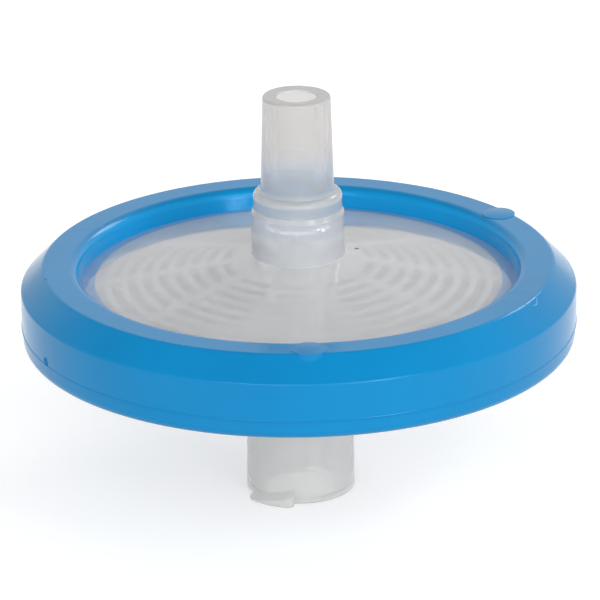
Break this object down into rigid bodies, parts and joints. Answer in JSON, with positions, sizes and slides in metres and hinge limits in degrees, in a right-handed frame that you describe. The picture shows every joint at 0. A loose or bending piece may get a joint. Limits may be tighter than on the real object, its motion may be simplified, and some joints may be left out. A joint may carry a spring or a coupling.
{
  "type": "disc syringe filter with overmoulded ring",
  "caption": "Disc-shaped syringe filter: milky housing halves with a male slip tip and a female lock hub, held by a blue ring moulded over their edges.",
  "frame": {"origin": "centre of the inlet hub's rim, on which the filter stands", "axes": "+Z along the flow axis from the female inlet hub to the male outlet tip; -Y faces the viewer"},
  "size_m": [0.033, 0.033, 0.0246],
  "materials": {
    "blue_polypropylene": "semi-gloss moulded blue polypropylene",
    "natural_polypropylene": "milky translucent natural polypropylene",
    "natural_polypropylene_inlet": "milky translucent natural polypropylene",
    "white_membrane": "matt white microporous membrane"
  },
  "bodies": {
    "root": {"overmould_ring": "blue_polypropylene", "outlet_housing": "natural_polypropylene", "inlet_housing": "natural_polypropylene_inlet", "membrane": "white_membrane"}
  },
  "joints": []
}
